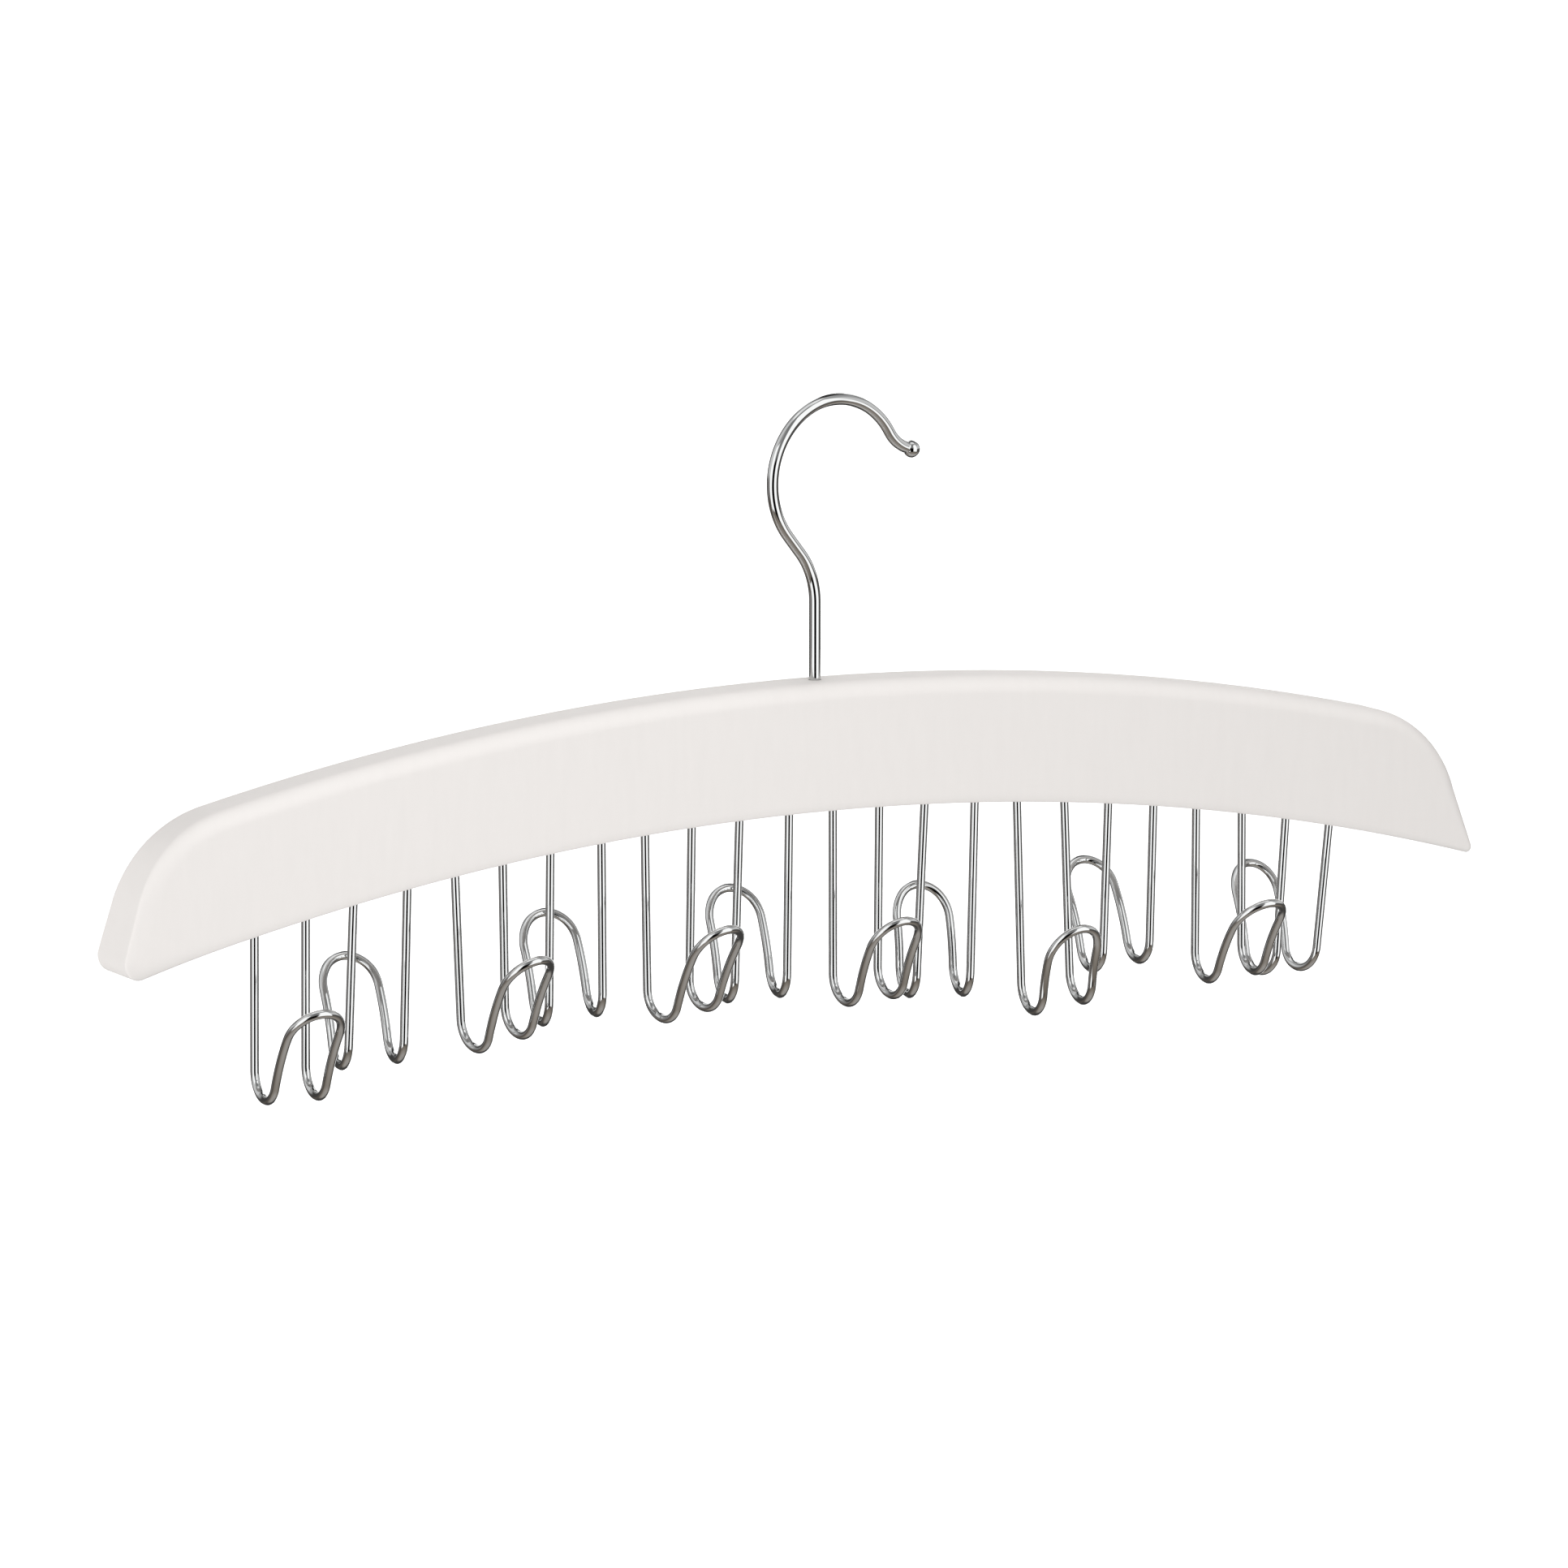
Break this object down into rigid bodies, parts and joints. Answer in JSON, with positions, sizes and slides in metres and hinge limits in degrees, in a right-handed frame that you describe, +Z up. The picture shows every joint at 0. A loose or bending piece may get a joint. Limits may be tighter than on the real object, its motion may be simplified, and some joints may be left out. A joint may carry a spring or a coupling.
{
  "type": "belt hanger",
  "caption": "Arched white wooden bar on a swivelling chrome wire hook, with chrome wire belt hooks along its underside that open to the front and rear in turn.",
  "frame": {"origin": "the rail seat: the point on the swivel axis, inside the crown of the top hook, where the rail bears", "axes": "+Z up along the swivel axis, +X along the bar to the end that the top hook opens towards, -Y out of the bar's front face"},
  "size_m": [0.4381, 0.0618, 0.1861],
  "materials": {
    "white_paint": "white satin paint on wood",
    "chrome_wire": "chrome plated steel wire",
    "zinc_plate": "zinc plated steel"
  },
  "bodies": {
    "hook": {"swivel_hook": "chrome_wire", "hook_washer": "zinc_plate", "hook_nut": "zinc_plate"},
    "bar": {"hanger_bar": "white_paint", "belt_hook_front_1": "chrome_wire", "belt_hook_rear_1": "chrome_wire", "belt_hook_front_2": "chrome_wire", "belt_hook_rear_2": "chrome_wire", "belt_hook_front_3": "chrome_wire", "belt_hook_rear_3": "chrome_wire", "belt_hook_front_4": "chrome_wire", "belt_hook_rear_4": "chrome_wire", "belt_hook_front_5": "chrome_wire", "belt_hook_rear_5": "chrome_wire", "belt_hook_front_6": "chrome_wire", "belt_hook_rear_6": "chrome_wire"}
  },
  "joints": [
    {"name": "hook_swivel", "type": "hinge", "parent": "hook", "child": "bar", "pos_m": [0, 0, -0.0766], "axis": [0, 0, 1], "continuous": true}
  ]
}
